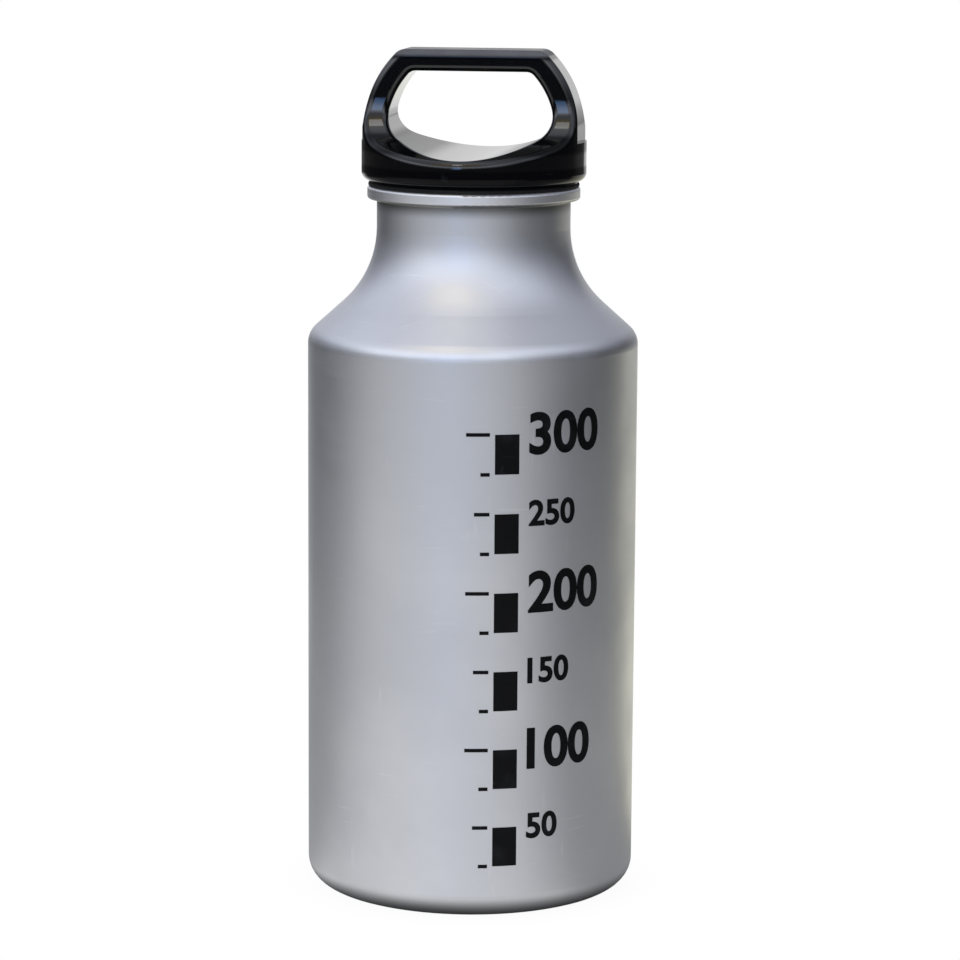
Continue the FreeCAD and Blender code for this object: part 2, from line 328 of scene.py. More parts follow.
@dataclass(frozen=True)
class SatinAluminium:
    """Brushed aluminium: soft gloss, faint lines round the bottle, clouds, a few scratches, a painted shade
    under the lip and a painted highlight on the lip.
    """

    name: str = "satin_aluminium"
    pale: Colour = (0.740, 0.745, 0.768, 1.0)
    dull: Colour = (0.670, 0.675, 0.698, 1.0)
    scratch: Colour = (0.80, 0.805, 0.82, 1.0)
    grime: Colour = (0.27, 0.27, 0.265, 1.0)
    machined: Colour = (0.87, 0.87, 0.88, 1.0)
    smooth: float = 0.42
    rough: float = 0.5
    tooth_scale: float = 4200.0
    tooth_share: float = 0.5
    cloud_scale: float = 38.0
    cloud_span: Span = (0.3, 0.7)
    cloud_share: float = 0.5
    mark_scale: float = 95.0
    mark_amount: float = 0.5
    line_stretch: tuple[float, float, float] = (60.0, 60.0, 5200.0)
    line_scale: float = 1.0
    line_detail: float = 2.0
    line_share: float = 0.5
    gloss_span: Span = (0.2, 0.8)
    relief: float = 0.35
    relief_depth: float = 0.02 * MM
    # Heights of the painted shade under the lip, and where it gives way to the lip's painted highlight.
    grime_start: Span = (136.2 * MM, 138.7 * MM)
    grime_end: Span = (139.3 * MM, 139.7 * MM)
    least_grime: float = 0.75

    def make(self) -> bpy.types.Material:
        """Builds the material.

        Returns:
            The new material.
        """
        material, graph, shader = start_material(self.name, {"Metallic": 1.0})
        place = graph.add("ShaderNodeTexCoord").outputs["Object"]
        height = graph.add("ShaderNodeSeparateXYZ", {0: place}).outputs["Z"]
        grain_values = {"Vector": place, "Tooth": self.tooth_scale, "Cloud": self.cloud_scale}
        grain = Effects.place(graph, Effects.GRAIN, grain_values)
        mark_values = {"Vector": place, "Scale": self.mark_scale, "Amount": self.mark_amount}
        marks = Effects.place(graph, Effects.MARKS, mark_values).outputs["Mask"]
        stretched = graph.add("ShaderNodeMapping", {"Vector": place, "Scale": self.line_stretch})
        line_values = {
            "Vector": stretched.outputs["Vector"],
            "Scale": self.line_scale,
            "Detail": self.line_detail,
        }
        lines = graph.add("ShaderNodeTexNoise", line_values).outputs["Fac"]
        clouds = graph.ramp(grain.outputs["Clouds"], self.cloud_span)

        tone = graph.blend(clouds, self.pale, self.dull)
        tone = graph.blend(marks, tone, self.scratch)
        # A painted shade darkens the metal in the corner under the lip.
        tone = graph.blend(self.dirt_under_lip(graph, height, clouds), tone, self.grime)
        # The lip is painted paler than the rest of the metal, as a painted highlight.
        tone = graph.blend(graph.ramp(height, self.grime_end), tone, self.machined)
        graph.feed(shader.inputs["Base Color"], tone)

        uneven = graph.math("MULTIPLY", lines, self.line_share)
        uneven = graph.math("ADD", uneven, graph.math("MULTIPLY", clouds, self.cloud_share))
        graph.feed(shader.inputs["Roughness"], graph.ramp(uneven, self.gloss_span, self.smooth, self.rough))

        relief = graph.math("MULTIPLY", grain.outputs["Fine"], self.tooth_share)
        relief = graph.math("SUBTRACT", graph.math("ADD", relief, lines), marks)
        add_relief(graph, shader, relief, self.relief, self.relief_depth)
        return material

    def dirt_under_lip(self, graph: Graph, height: Socket, clouds: Socket) -> Socket:
        """Masks the corner under the lip, where a painted shade darkens the metal.

        Args:
            graph: the material's graph.
            height: the surface's height.
            clouds: uneven patches, from 0 to 1.

        Returns:
            The mask's socket.
        """
        band = graph.ramp(height, self.grime_start)
        band = graph.math("MULTIPLY", band, graph.ramp(height, self.grime_end, 1.0, 0.0))
        return graph.math("MULTIPLY", band, graph.ramp(clouds, (0.0, 1.0), self.least_grime, 1.0))


@dataclass(frozen=True)
class GlossPlastic:
    """Moulded black plastic, polished where it is handled, with a grey painted highlight and a rougher
    surface on the top edges of the loop.
    """

    name: str = "gloss_plastic"
    deep: Colour = (0.0025, 0.0025, 0.003, 1.0)
    rubbed: Colour = (0.014, 0.014, 0.016, 1.0)
    scuffed: Colour = (0.13, 0.13, 0.137, 1.0)
    ior: float = 1.49
    specular: float = 0.12
    smooth: float = 0.08
    rough: float = 0.18
    scuff_rough: float = 0.5
    tooth_scale: float = 700.0
    cloud_scale: float = 120.0
    mark_scale: float = 160.0
    mark_amount: float = 0.6
    # Heights of the grey painted highlight on the loop's top edges.
    scuff_start: Span = (167.1 * MM, 167.9 * MM)
    scuff_end: Span = (168.4 * MM, 168.65 * MM)
    top_share: float = 0.55
    scuff_clouds: Span = (0.3, 0.6)
    least_scuff: float = 0.75
    dull_clouds: Span = (0.35, 0.75)
    most_dulling: float = 0.5
    polish_rough: float = 0.1
    mark_share: float = 0.5
    rim_polish: float = 0.94
    rim_start: Span = (145.6 * MM, 146.3 * MM)
    rim_end: Span = (148.2 * MM, 149.2 * MM)
    loop_start: Span = (151.6 * MM, 153.2 * MM)
    loop_end: Span = (166.4 * MM, 167.2 * MM)
    side_start: Span = (20.4 * MM, 21.1 * MM)
    side_polish: float = 0.1
    relief: float = 0.15
    relief_depth: float = 0.03 * MM

    def make(self) -> bpy.types.Material:
        """Builds the material.

        Returns:
            The new material.
        """
        constants = {
            "IOR": self.ior,
            "Specular IOR Level": self.specular,
            "Coat Roughness": self.polish_rough,
        }
        material, graph, shader = start_material(self.name, constants)
        place = graph.add("ShaderNodeTexCoord").outputs["Object"]
        parts = graph.add("ShaderNodeSeparateXYZ", {0: place})
        grain_values = {"Vector": place, "Tooth": self.tooth_scale, "Cloud": self.cloud_scale}
        grain = Effects.place(graph, Effects.GRAIN, grain_values)
        clouds = grain.outputs["Clouds"]
        mark_values = {"Vector": place, "Scale": self.mark_scale, "Amount": self.mark_amount}
        marks = Effects.place(graph, Effects.MARKS, mark_values).outputs["Mask"]
        top_highlight = self.scuff_on_top(graph, parts.outputs["Z"], clouds)

        tone = graph.blend(marks, self.deep, self.rubbed)
        # The loop's top edges are painted grey, a painted highlight.
        graph.feed(shader.inputs["Base Color"], graph.blend(top_highlight, tone, self.scuffed))

        dulled = graph.ramp(clouds, self.dull_clouds, 0.0, self.most_dulling)
        gloss = graph.ramp(graph.math("MAXIMUM", dulled, marks), (0.0, 1.0), self.smooth, self.rough)
        gloss = graph.math("MAXIMUM", gloss, graph.math("MULTIPLY", top_highlight, self.scuff_rough))
        graph.feed(shader.inputs["Roughness"], gloss)

        # The coat is taken away where the marks wear it and where the top highlight is painted.
        worn = graph.math("MAXIMUM", top_highlight, graph.math("MULTIPLY", marks, self.mark_share))
        polish = self.polish(graph, parts.outputs["Z"], parts.outputs["X"])
        polish = graph.math("MULTIPLY", polish, graph.math("SUBTRACT", 1.0, worn))
        graph.feed(shader.inputs["Coat Weight"], polish)
        add_relief(graph, shader, grain.outputs["Fine"], self.relief, self.relief_depth)
        return material

    def scuff_on_top(self, graph: Graph, height: Socket, clouds: Socket) -> Socket:
        """Masks the upper edges of the loop, which are painted grey as a painted highlight.

        Args:
            graph: the material's graph.
            height: the surface's height.
            clouds: the grain's clouds.

        Returns:
            The mask's socket.
        """
        top_highlight = graph.ramp(height, self.scuff_start)
        top_highlight = graph.math("MULTIPLY", top_highlight, graph.ramp(height, self.scuff_end, 1.0, self.top_share))
        return graph.math("MULTIPLY", top_highlight, graph.ramp(clouds, self.scuff_clouds, self.least_scuff, 1.0))

    def polish(self, graph: Graph, height: Socket, sideways: Socket) -> Socket:
        """Masks where hands have polished the plastic, which is the loop and the flange's rim.

        Args:
            graph: the material's graph.
            height: the surface's height.
            sideways: its place along the loop.

        Returns:
            The mask's socket.
        """
        rim = graph.ramp(height, self.rim_start, 0.0, self.rim_polish)
        rim = graph.math("MULTIPLY", rim, graph.ramp(height, self.rim_end, 1.0, 0.0))
        loop = graph.ramp(height, self.loop_start)
        loop = graph.math("MULTIPLY", loop, graph.ramp(height, self.loop_end, 1.0, 0.0))
        off_axis = graph.math("ABSOLUTE", sideways)
        loop = graph.math("MULTIPLY", loop, graph.ramp(off_axis, self.side_start, 1.0, self.side_polish))
        return graph.math("MAXIMUM", rim, loop)


@dataclass(frozen=True)
class MattRubber:
    """Black seal rubber with a dusty bloom."""

    name: str = "matt_rubber"
    dark: Colour = (0.004, 0.004, 0.004, 1.0)
    bloom: Colour = (0.014, 0.014, 0.013, 1.0)
    ior: float = 1.5
    specular: float = 0.3
    smooth: float = 0.6
    rough: float = 0.85
    tooth_scale: float = 2500.0
    tooth_span: Span = (0.3, 0.7)
    cloud_scale: float = 90.0
    dust_span: Span = (0.4, 0.75)
    relief: float = 0.4
    relief_depth: float = 0.05 * MM

    def make(self) -> bpy.types.Material:
        """Builds the material.

        Returns:
            The new material.
        """
        constants = {"IOR": self.ior, "Specular IOR Level": self.specular}
        material, graph, shader = start_material(self.name, constants)
        place = graph.add("ShaderNodeTexCoord").outputs["Object"]
        grain_values = {"Vector": place, "Tooth": self.tooth_scale, "Cloud": self.cloud_scale}
        grain = Effects.place(graph, Effects.GRAIN, grain_values)
        fine = grain.outputs["Fine"]
        dusty = graph.ramp(grain.outputs["Clouds"], self.dust_span)
        graph.feed(shader.inputs["Base Color"], graph.blend(dusty, self.dark, self.bloom))
        graph.feed(shader.inputs["Roughness"], graph.ramp(fine, self.tooth_span, self.smooth, self.rough))
        add_relief(graph, shader, fine, self.relief, self.relief_depth)
        return material


@dataclass(frozen=True)
class PrintedInk:
    """Screen-printed black ink, a little thin in places."""

    name: str = "printed_ink"
    solid: Colour = (0.003, 0.003, 0.0035, 1.0)
    thin: Colour = (0.02, 0.02, 0.023, 1.0)
    ior: float = 1.45
    specular: float = 0.12
    smooth: float = 0.34
    rough: float = 0.5
    tooth_scale: float = 1800.0
    tooth_span: Span = (0.3, 0.7)
    cloud_scale: float = 150.0
    thin_clouds: Span = (0.5, 0.8)
    most_thinning: float = 0.6
    mark_scale: float = 140.0
    mark_amount: float = 0.8

    def make(self) -> bpy.types.Material:
        """Builds the material.

        Returns:
            The new material.
        """
        constants = {"IOR": self.ior, "Specular IOR Level": self.specular}
        material, graph, shader = start_material(self.name, constants)
        place = graph.add("ShaderNodeTexCoord").outputs["Object"]
        grain_values = {"Vector": place, "Tooth": self.tooth_scale, "Cloud": self.cloud_scale}
        grain = Effects.place(graph, Effects.GRAIN, grain_values)
        mark_values = {"Vector": place, "Scale": self.mark_scale, "Amount": self.mark_amount}
        marks = Effects.place(graph, Effects.MARKS, mark_values).outputs["Mask"]
        thinned = graph.ramp(grain.outputs["Clouds"], self.thin_clouds, 0.0, self.most_thinning)
        worn = graph.math("MAXIMUM", thinned, marks)
        gloss = graph.ramp(grain.outputs["Fine"], self.tooth_span, self.smooth, self.rough)
        graph.feed(shader.inputs["Base Color"], graph.blend(worn, self.solid, self.thin))
        graph.feed(shader.inputs["Roughness"], gloss)
        return material


def finish_mesh(form: bmesh.types.BMesh, name: str, material: bpy.types.Material) -> bpy.types.Object:
    """Turns a bmesh into an object of the scene, with flat faces that point outwards.

    Args:
        form: the shape, which is freed.
        name: the piece's name.
        material: its material.

    Returns:
        The new object.
    """
    bmesh.ops.remove_doubles(form, verts=form.verts, dist=MERGE_DISTANCE)
    bmesh.ops.recalc_face_normals(form, faces=form.faces)
    for face in form.faces:
        face.smooth = False
    mesh = bpy.data.meshes.new(name)
    form.to_mesh(mesh)
    form.free()
    mesh.materials.append(material)
    piece = bpy.data.objects.new(name, mesh)
    bpy.context.scene.collection.objects.link(piece)
    return piece


def dress_node(node: bpy.types.Object, material: bpy.types.Material) -> None:
    """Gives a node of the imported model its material.

    Args:
        node: the node's object.
        material: what every slot of it gets.
    """
    for slot in node.material_slots:
        slot.material = material
    log.info("%s dressed in %s", node.name, material.name)


@dataclass
class ThreadRidge:
    """One right-hand screw ridge on a round wall."""

    wall_radius: float
    height: float
    inward: bool
    start_z: float
    start_angle: float
    turns: float
    lead: float = 3.5 * MM
    foot_width: float = 1.75 * MM
    crest_width: float = 0.75 * MM
    sunk: float = 0.2 * MM
    fade_turns: float = 0.12
    end_share: float = 0.12
    steps_per_turn: int = 96

    def root_radius(self) -> float:
        """Gives the radius of the ridge's foot, which is sunk into the wall."""
        return self.wall_radius + (self.sunk if self.inward else -self.sunk)

    def section(self) -> list[tuple[float, float]]:
        """Gives the ridge's section.

        Returns:
            Its corners as radius and height, from the foot's lower corner round to the upper one.
        """
        root = self.root_radius()
        crest = self.wall_radius + (-self.height if self.inward else self.height)
        foot = self.foot_width / 2
        top = self.crest_width / 2
        lower = [(root, -foot), (self.wall_radius, -foot), (crest, -top)]
        return lower + [(radius, -height) for radius, height in reversed(lower)]

    def build(self, form: bmesh.types.BMesh) -> None:
        """Adds the ridge to a shape, with both ends run out into the wall.

        Args:
            form: the shape that takes the ridge.
        """
        ring = [form.verts.new((radius, 0.0, height)) for radius, height in self.section()]
        face = form.faces.new(ring)
        steps = round(self.turns * self.steps_per_turn)
        before = set(form.verts)
        bmesh.ops.spin(
            form,
            geom=[face, *face.edges, *ring],
            cent=(0.0, 0.0, 0.0),
            axis=(0.0, 0.0, 1.0),
            dvec=Vector((0.0, 0.0, self.lead * self.turns / steps)),
            angle=math.tau * self.turns,
            steps=steps,
            use_merge=False,
        )
        swept = ring + [vert for vert in form.verts if vert not in before]
        self.run_out(swept)
        turn = Matrix.Translation((0.0, 0.0, self.start_z)) @ Matrix.Rotation(self.start_angle, 4, "Z")
        bmesh.ops.transform(form, matrix=turn, verts=swept)

    def run_out(self, swept: list[bmesh.types.BMVert]) -> None:
        """Sinks both ends of the ridge into the wall.

        Args:
            swept: the ridge's vertices, before they are put in place.
        """
        root = self.root_radius()
        whole_rise = self.lead * self.turns
        for vert in swept:
            radius = math.hypot(vert.co.x, vert.co.y)
            along = min(max(vert.co.z / whole_rise, 0.0), 1.0)
            left = min(along, 1.0 - along) * self.turns
            share = min(1.0, left / self.fade_turns)
            eased = share * share * (3.0 - 2.0 * share)
            wanted = root + (radius - root) * (self.end_share + (1.0 - self.end_share) * eased)
            vert.co.x *= wanted / radius
            vert.co.y *= wanted / radius


@dataclass
class FillScale:
    """Printed scale on the bottle's wall: blocks, ticks and plain numbers in millilitres."""

    wall_radius: float
    inner_radius: float = 32.0 * MM
    floor_z: float = 3.2 * MM
    ink_depth: float = 0.05 * MM
    sunk: float = 0.08 * MM
    facet: float = 0.9 * MM
    middle_azimuth: float = math.radians(22.0)
    step_ml: int = 25
    half_ml: int = 50
    whole_ml: int = 100
    highest_ml: int = 300
    bar_left: float = -3.4 * MM
    bar_right: float = 1.4 * MM
    whole_tick_left: float = -9.0 * MM
    half_tick_left: float = -7.4 * MM
    short_tick_left: float = -6.2 * MM
    tick_right: float = -4.4 * MM
    tick_height: float = 0.7 * MM
    number_left: float = 3.4 * MM
    whole_number_height: float = 8.4 * MM
    half_number_height: float = 5.2 * MM
    stroke_growth: float = 0.028
    curve_steps: int = 6

    def level(self, millilitres: float) -> float:
        """Gives the height at which the bottle holds a volume.

        Args:
            millilitres: the volume.

        Returns:
            The height above the floor.
        """
        return self.floor_z + millilitres * CUBIC_METRES_PER_ML / (math.pi * self.inner_radius**2)

    def add_block(self, form: bmesh.types.BMesh, left: float, right: float, low: float, high: float) -> None:
        """Adds a flat rectangle to the print.

        Args:
            form: the print, flat, with X along the wall and Y up.
            left: its left side.
            right: its right side.
            low: its lower side.
            high: its upper side.
        """
        place = Matrix.Translation(((left + right) / 2, (low + high) / 2, 0.0))
        shape = Matrix.Diagonal((right - left, high - low, 1.0, 1.0))
        bmesh.ops.create_grid(form, x_segments=1, y_segments=1, size=0.5, matrix=place @ shape)

    def add_tick(self, form: bmesh.types.BMesh, number: int) -> None:
        """Adds the tick of one level, longer at the halves and longest at the hundreds.

        Args:
            form: the print, flat.
            number: the level in millilitres.
        """
        left = self.short_tick_left
        if number % self.half_ml == 0:
            left = self.half_tick_left
        if number % self.whole_ml == 0:
            left = self.whole_tick_left
        level = self.level(number)
        half = self.tick_height / 2
        self.add_block(form, left, self.tick_right, level - half, level + half)

    def write(self, number: int) -> bpy.types.Mesh:
        """Writes a number as a flat mesh of no set size.

        Args:
            number: the number in millilitres.

        Returns:
            The new mesh.
        """
        text = bpy.data.curves.new(f"number_{number}", "FONT")
        text.body = str(number)
        text.size = 1.0
        text.offset = self.stroke_growth
        text.resolution_u = self.curve_steps
        text.fill_mode = "FRONT"
        writer = bpy.data.objects.new(f"number_{number}", text)
        bpy.context.scene.collection.objects.link(writer)
        bpy.context.view_layer.update()
        written = writer.evaluated_get(bpy.context.evaluated_depsgraph_get())
        flat = bpy.data.meshes.new_from_object(written)
        bpy.data.objects.remove(writer)
        bpy.data.curves.remove(text)
        return flat

    def add_number(self, form: bmesh.types.BMesh, number: int) -> None:
        """Adds a number beside the scale, centred on its own level.

        Args:
            form: the print, flat.
            number: the number in millilitres.
        """
        flat = self.write(number)
        low = min(vert.co.y for vert in flat.vertices)
        high = max(vert.co.y for vert in flat.vertices)
        left = min(vert.co.x for vert in flat.vertices)
        height = self.half_number_height if number % self.whole_ml else self.whole_number_height
        scale = height / (high - low)
        level = self.level(number)
        for vert in flat.vertices:
            across = self.number_left + (vert.co.x - left) * scale
            vert.co = Vector((across, level + (vert.co.y - (low + high) / 2) * scale, 0.0))
        form.from_mesh(flat)
        bpy.data.meshes.remove(flat)

    def draw(self) -> bmesh.types.BMesh:
        """Draws the whole print flat.

        Returns:
            The print, with X along the wall and Y up.
        """
        form = bmesh.new()
        for number in range(self.step_ml, self.highest_ml + 1, self.step_ml):
            if number % self.half_ml and number < self.highest_ml:
                top = self.level(number + self.step_ml)
                self.add_block(form, self.bar_left, self.bar_right, self.level(number), top)
            self.add_tick(form, number)
        for number in range(self.half_ml, self.highest_ml + 1, self.half_ml):
            self.add_number(form, number)
        return form

    def bow(self, form: bmesh.types.BMesh) -> None:
        """Cuts the flat print into narrow strips, gives it its thickness and lays it round the wall.

        Args:
            form: the flat print.
        """
        left = min(vert.co.x for vert in form.verts)
        width = max(vert.co.x for vert in form.verts) - left
        cuts = int(width / self.facet)
        across = Vector((1.0, 0.0, 0.0))
        for number in range(1, cuts + 1):
            place = across * (left + width * number / (cuts + 1))
            everything = [*form.verts, *form.edges, *form.faces]
            bmesh.ops.bisect_plane(form, geom=everything, dist=CUT_DISTANCE, plane_co=place, plane_no=across)
        bmesh.ops.recalc_face_normals(form, faces=form.faces)
        grown = bmesh.ops.extrude_face_region(form, geom=list(form.faces))
        raised = {item for item in grown["geom"] if isinstance(item, bmesh.types.BMVert)}
        for vert in form.verts:
            radius = self.wall_radius + (self.ink_depth if vert in raised else -self.sunk)
            angle = self.middle_azimuth + vert.co.x / self.wall_radius
            vert.co = Vector((radius * math.sin(angle), -radius * math.cos(angle), vert.co.y))


@dataclass
class Bottle:
    """The aluminium bottle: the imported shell, the thread in its neck and the printed fill scale."""

    bore_radius: float = 17.2 * MM
    thread_height: float = 1.05 * MM
    thread_start_z: float = 131.9 * MM
    thread_turns: float = 2.15
    wall_radius: float = 33.0 * MM

    def dress(self, shell: bpy.types.Object, metal: bpy.types.Material) -> None:
        """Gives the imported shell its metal."""
        dress_node(shell, metal)

    def build_thread(self, metal: bpy.types.Material) -> bpy.types.Object:
        """Builds the ridge in the neck.

        Args:
            metal: the bottle's material.

        Returns:
            The new piece.
        """
        ridge = ThreadRidge(
            wall_radius=self.bore_radius,
            height=self.thread_height,
            inward=True,
            start_z=self.thread_start_z,
            start_angle=0.0,
            turns=self.thread_turns,
        )
        form = bmesh.new()
        ridge.build(form)
        piece = finish_mesh(form, "neck_thread", metal)
        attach(piece, Body.BOTTLE.value)
        log.info("%s built", piece.name)
        return piece

    def print_scale(self, ink: bpy.types.Material) -> bpy.types.Object:
        """Prints the fill scale on the wall.

        Args:
            ink: the print's material.

        Returns:
            The new piece.
        """
        scale = FillScale(wall_radius=self.wall_radius)
        form = scale.draw()
        scale.bow(form)
        piece = finish_mesh(form, "fill_scale", ink)
        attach(piece, Body.BOTTLE.value)
        log.info("%s printed", piece.name)
        return piece


@dataclass
class ScrewCap:
    """The moulded cap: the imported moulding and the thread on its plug, broken by the vent slots."""

    plug_radius: float = 15.9 * MM
    thread_height: float = 1.05 * MM
    thread_start_z: float = 133.65 * MM
    thread_fade_turns: float = 0.02
    half_turns: int = 4
    lead: float = 3.5 * MM
    slot_half_angle: float = math.radians(6.6)

    def dress(self, moulding: bpy.types.Object, plastic: bpy.types.Material) -> None:
        """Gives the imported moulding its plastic."""
        dress_node(moulding, plastic)

    def build_thread(self, plastic: bpy.types.Material) -> bpy.types.Object:
        """Builds the ridge on the plug, one length between each two vent slots.

        Args:
            plastic: the cap's material.

        Returns:
            The new piece.
        """
        form = bmesh.new()
        for number in range(self.half_turns):
            start = math.pi * number + self.slot_half_angle
            ridge = ThreadRidge(
                wall_radius=self.plug_radius,
                height=self.thread_height,
                inward=False,
                start_z=self.thread_start_z + self.lead * start / math.tau,
                start_angle=start,
                turns=0.5 - self.slot_half_angle / math.pi,
                lead=self.lead,
                fade_turns=self.thread_fade_turns,
            )
            ridge.build(form)
        piece = finish_mesh(form, "plug_thread", plastic)
        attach(piece, Body.CAP.value)
        log.info("%s built", piece.name)
        return piece


@dataclass
class Seal:
    """The rubber washer under the cap."""

    def dress(self, ring: bpy.types.Object, rubber: bpy.types.Material) -> None:
        """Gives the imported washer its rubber."""
        dress_node(ring, rubber)


@dataclass(frozen=True)
class SoftBox:
    """One large soft lamp, turned to a point on the bottle's axis. Angles are in degrees."""

    name: str
    width: float
    height: float
    azimuth: float
    elevation: float
    distance: float
    power: float
    tint: tuple[float, float, float] = (1.0, 1.0, 1.0)
    lean: float = 0.0
    aim_z: float = 90.0 * MM

    def build(self) -> bpy.types.Object:
        """Adds the lamp.

        Returns:
            The lamp's object.
        """
        light = bpy.data.lights.new(self.name, "AREA")
        light.shape = "RECTANGLE"
        light.size = self.width
        light.size_y = self.height
        light.energy = self.power
        light.color = self.tint
        lamp = bpy.data.objects.new(self.name, light)
        bpy.context.scene.collection.objects.link(lamp)
        turn = math.radians(self.azimuth)
        lift = math.radians(self.elevation)
        reach = math.cos(lift)
        away = Vector((math.sin(turn) * reach, -math.cos(turn) * reach, math.sin(lift)))
        lamp.location = Vector((0.0, 0.0, self.aim_z)) + away * self.distance
        facing = away.to_track_quat("Z", "Y") @ Quaternion((0.0, 0.0, 1.0), math.radians(self.lean))
        lamp.rotation_euler = facing.to_euler()
        return lamp


@dataclass(frozen=True)
class RoomPatch:
    """One lit part of the room round the bottle, with soft edges.

    Each edge is a pair: where the patch starts and where it is full. Across, it is the cosine of the
    angle to the patch's middle, and below and above, the sine of the elevation. A tint below zero takes
    that colour away from the patches behind it.
    """

    level: float
    tint: Colour = WHITE
    azimuth: float = 0.0
    across: Span = (-2.0, -1.0)
    below: Span = (-2.0, -1.0)
    above: Span = (2.0, 1.0)

    def light(self, graph: Graph, heading: Socket, height: Socket) -> Socket:
        """Gives the patch's light.

        Args:
            graph: the room's graph.
            heading: the level direction that is looked up.
            height: the sine of its elevation.

        Returns:
            The socket of the light's colour, black outside the patch.
        """
        inside = graph.ramp(graph.towards(heading, self.azimuth), self.across)
        inside = graph.math("MULTIPLY", inside, graph.ramp(height, self.below))
        inside = graph.math("MULTIPLY", inside, graph.ramp(height, self.above))
        full = Vector(self.tint[:3]) * self.level
        scaled = graph.add("ShaderNodeVectorMath", {0: full, "Scale": inside}, operation="SCALE")
        return scaled.outputs["Vector"]


@dataclass
class Studio:
    """Plain pale floor, soft light and the camera. Angles are in degrees."""

    camera_azimuth: float = 8.5
    camera_distance: float = 0.721
    camera_height: float = 0.2016
    focal_pixels: float = 3626.0
    pitch: float = 9.4
    yaw: float = 0.126
    roll: float = 0.37
    clip_start: float = 0.05
    clip_end: float = 50.0
    floor_size: float = 6.0
    floor_drop: float = 0.05 * MM
    floor_colour: Colour = (0.82, 0.82, 0.81, 1.0)
    floor_front: float = 0.85
    floor_side: float = 0.385
    floor_dark: float = 0.045
    front_azimuth: float = -15.0
    front_across: Span = (0.05, 0.8)
    front_reach: Span = (0.35, 1.3)
    side_reach: Span = (0.28, 0.6)
    back_azimuth: float = 174.5
    back_across: Span = (0.6, 0.85)
    back_reach: Span = (0.9, 1.6)
    far_across: Span = (0.965, 0.985)
    side_dimming: float = 0.9
    far_dimming: float = 0.28
    back_tint: Colour = (1.0, 0.99, 0.83, 1.0)
    tint_azimuth: float = 152.0
    tint_across: Span = (0.75, 0.95)
    tint_reach: Span = (0.7, 1.1)
    shadow_reach: Span = (30.0 * MM, 41.0 * MM)
    shadow_level: float = 0.05
    contact_share: float = 0.96
    room_dark: Colour = (0.015, 0.015, 0.015, 1.0)
    sky_tint: Colour = (0.91, 0.96, 1.12, 1.0)
    sky_edge: Span = (0.12, 0.55)
    window_tint: Colour = (0.92, 0.97, 1.04, 1.0)
    pane_tint: Colour = (0.5, 0.9, 1.75, 1.0)
    glow_tint: Colour = (0.35, 0.0, -0.78, 1.0)

    def front_room(self) -> list[RoomPatch]:
        """Lists the lit parts of the room in front and at the sides.

        Returns:
            A wide window, a blue pane, a pale band above, a warm glow and a band of wall at each side.
        """
        band_across = (0.6, 0.9)
        window = RoomPatch(
            level=1.3,
            tint=self.window_tint,
            azimuth=self.front_azimuth,
            across=(0.24, 0.83),
            below=(0.04, 0.38),
            above=(0.62, 0.5),
        )
        pane = RoomPatch(
            level=1.6,
            tint=self.pane_tint,
            azimuth=-9.2,
            across=(0.9965, 0.9983),
            below=(0.01, 0.04),
            above=(0.53, 0.47),
        )
        high_band = RoomPatch(
            level=0.11,
            azimuth=5.0,
            across=(0.1, 0.7),
            below=(0.66, 0.8),
            above=(0.995, 0.96),
        )
        glow = RoomPatch(
            level=0.72,
            tint=self.glow_tint,
            azimuth=-18.0,
            across=(0.78, 0.95),
            below=(0.64, 0.8),
            above=(0.98, 0.9),
        )
        right_band = RoomPatch(
            level=0.5,
            tint=self.sky_tint,
            azimuth=62.0,
            across=band_across,
            below=(0.3, 0.62),
            above=(0.9, 0.74),
        )
        left_band = RoomPatch(
            level=0.36,
            tint=self.sky_tint,
            azimuth=-88.0,
            across=band_across,
            below=(0.2, 0.38),
            above=(0.62, 0.5),
        )
        return [window, pane, high_band, glow, right_band, left_band]

    def ceiling_and_back(self) -> list[RoomPatch]:
        """Lists the lit parts of the room above and behind.

        Returns:
            The ceiling, which is brighter towards the front and the left, and the white backdrop.
        """
        sky = self.sky_tint
        ceiling = RoomPatch(level=0.41, tint=sky, below=self.sky_edge)
        front = RoomPatch(level=0.12, tint=sky, azimuth=-42.0, across=(-0.9, -0.55), below=self.sky_edge)
        left = RoomPatch(level=0.23, tint=sky, azimuth=-60.0, across=(-0.6, 0.4), below=self.sky_edge)
        backdrop = RoomPatch(
            level=0.72,
            azimuth=188.0,
            across=(0.8, 0.95),
            below=(-0.1, 0.0),
            above=(0.42, 0.22),
        )
        return [ceiling, front, left, backdrop]

    def lamps(self) -> list[SoftBox]:
        """Lists the soft lamps.

        Returns:
            A tall cool lamp in front and a small one overhead.
        """
        front = SoftBox(
            name="front_box",
            width=0.25,
            height=0.95,
            azimuth=-18.7,
            elevation=62.5,
            distance=3.0,
            power=2.6,
            tint=(0.92, 0.97, 1.06),
            lean=16.0,
        )
        top = SoftBox(
            name="top_box",
            width=0.5,
            height=0.5,
            azimuth=-10.0,
            elevation=80.0,
            distance=1.0,
            power=0.3,
        )
        return [front, top]

    def build_camera(self) -> None:
        """Sets the camera at the photograph's viewing angle."""
        data = bpy.data.cameras.new("camera")
        data.sensor_width = SENSOR_MM
        data.lens = self.focal_pixels / PICTURE_PIXELS * SENSOR_MM
        data.clip_start = self.clip_start
        data.clip_end = self.clip_end
        camera = bpy.data.objects.new("camera", data)
        bpy.context.scene.collection.objects.link(camera)
        turn = math.radians(self.camera_azimuth)
        place = Vector((math.sin(turn), -math.cos(turn), 0.0)) * self.camera_distance
        place.z = self.camera_height
        aim = Matrix.Rotation(turn - math.radians(self.yaw), 4, "Z")
